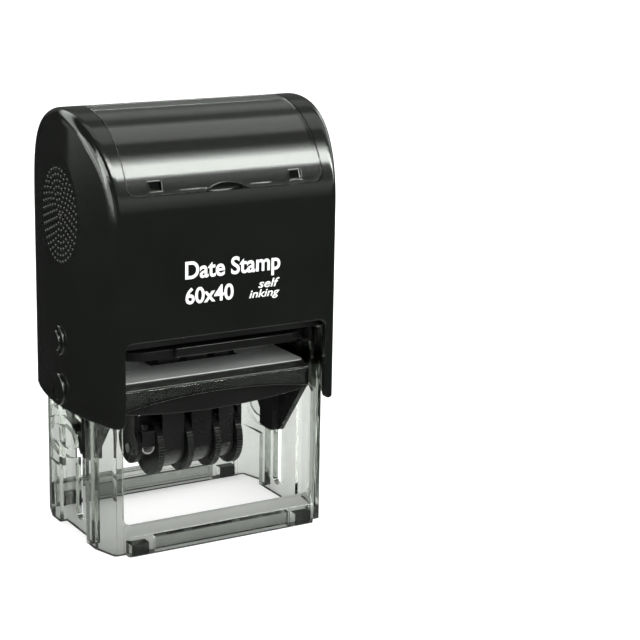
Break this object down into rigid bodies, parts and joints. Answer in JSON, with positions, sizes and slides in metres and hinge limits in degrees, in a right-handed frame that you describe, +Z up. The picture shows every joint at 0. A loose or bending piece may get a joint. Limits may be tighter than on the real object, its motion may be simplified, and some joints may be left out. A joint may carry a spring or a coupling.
{
  "type": "self inking date stamp",
  "caption": "Self inking date stamp: clear base frame, black arched press-down cap, and a text carriage with date wheels that flips from ink pad to paper.",
  "frame": {"origin": "middle of the base, in the plane that the base rests on", "axes": "+X along the long side of the print, to the right of the reader; +Y from front to back; +Z up"},
  "size_m": [0.0848, 0.0586, 0.1293],
  "materials": {
    "clear_smoke": "clear, smoke grey tint, glossy",
    "rubber_black": "matte",
    "black_satin": "satin",
    "spring_steel": "bright drawn wire and strip",
    "black_tray": "semi gloss",
    "ink_felt": "ink-soaked felt",
    "black_gloss": "high gloss",
    "card_black": "matte card",
    "clear_window": "clear, high gloss",
    "black_carriage": "semi gloss moulding",
    "liner_film": "pale peel-off film, glossy",
    "wheel_black": "satin",
    "rubber_band": "satin rubber"
  },
  "bodies": {
    "frame": {"base_frame": "clear_smoke", "foot_pads": "rubber_black", "frame_deck": "black_satin", "return_spring": "spring_steel"},
    "ink_pad": {"ink_pad_tray": "black_tray", "ink_pad_felt": "ink_felt"},
    "cap": {"casing": "black_gloss", "spring_seat": "black_satin", "index_card": "card_black", "axle_cap_left": "black_gloss", "axle_cap_right": "black_gloss"},
    "index_window": {"index_window": "clear_window"},
    "lock_left": {"lock_button_left": "black_gloss"},
    "lock_right": {"lock_button_right": "black_gloss"},
    "carriage": {"carriage_body": "black_carriage", "mount_plate": "black_carriage", "plate_liner": "liner_film", "trunnion_pins": "black_carriage", "guide_pins": "black_carriage", "wheel_cheek_left": "black_carriage", "wheel_cheek_right": "black_carriage", "axle_block": "black_satin", "axle_clip": "spring_steel", "wheel_axle": "spring_steel", "band_guide": "black_carriage", "date_band_year": "rubber_band", "date_band_month": "rubber_band", "date_band_day": "rubber_band"},
    "year_wheel": {"date_wheel_year": "wheel_black"},
    "month_wheel": {"date_wheel_month": "wheel_black"},
    "day_wheel": {"date_wheel_day": "wheel_black"}
  },
  "joints": [
    {"name": "cap_press", "type": "slide", "parent": "frame", "child": "cap", "axis": [0, 0, -1], "range_m": [0, 0.038], "stiffness_N_per_m": 250, "springref_m": -0.03, "deforming": ["return_spring"]},
    {"name": "carriage_flip", "type": "hinge", "parent": "cap", "child": "carriage", "pos_m": [0, 0, 0.0458], "axis": [1, 0, 0], "range_deg": [0, 180]},
    {"name": "year_wheel_turn", "type": "hinge", "parent": "carriage", "child": "year_wheel", "pos_m": [-0.008, 0, 0.024], "axis": [1, 0, 0], "continuous": true},
    {"name": "month_wheel_turn", "type": "hinge", "parent": "carriage", "child": "month_wheel", "pos_m": [0.0015, 0, 0.024], "axis": [1, 0, 0], "continuous": true},
    {"name": "day_wheel_turn", "type": "hinge", "parent": "carriage", "child": "day_wheel", "pos_m": [0.011, 0, 0.024], "axis": [1, 0, 0], "continuous": true},
    {"name": "lock_left_press", "type": "slide", "parent": "cap", "child": "lock_left", "axis": [1, 0, 0], "range_m": [0, 0.0014], "stiffness_N_per_m": 400, "springref_m": -0.002},
    {"name": "lock_right_press", "type": "slide", "parent": "cap", "child": "lock_right", "axis": [-1, 0, 0], "range_m": [0, 0.0014], "stiffness_N_per_m": 400, "springref_m": -0.002},
    {"name": "index_window_lift", "type": "slide", "parent": "cap", "child": "index_window", "axis": [0, 0, 1], "range_m": [0, 0.03]},
    {"name": "ink_pad_pull", "type": "slide", "parent": "frame", "child": "ink_pad", "axis": [0, 1, 0], "range_m": [-0.05, 0]}
  ],
  "couplings": [
    {"joint": "carriage_flip", "follows": "cap_press", "rad_per_m": 82.67}
  ]
}
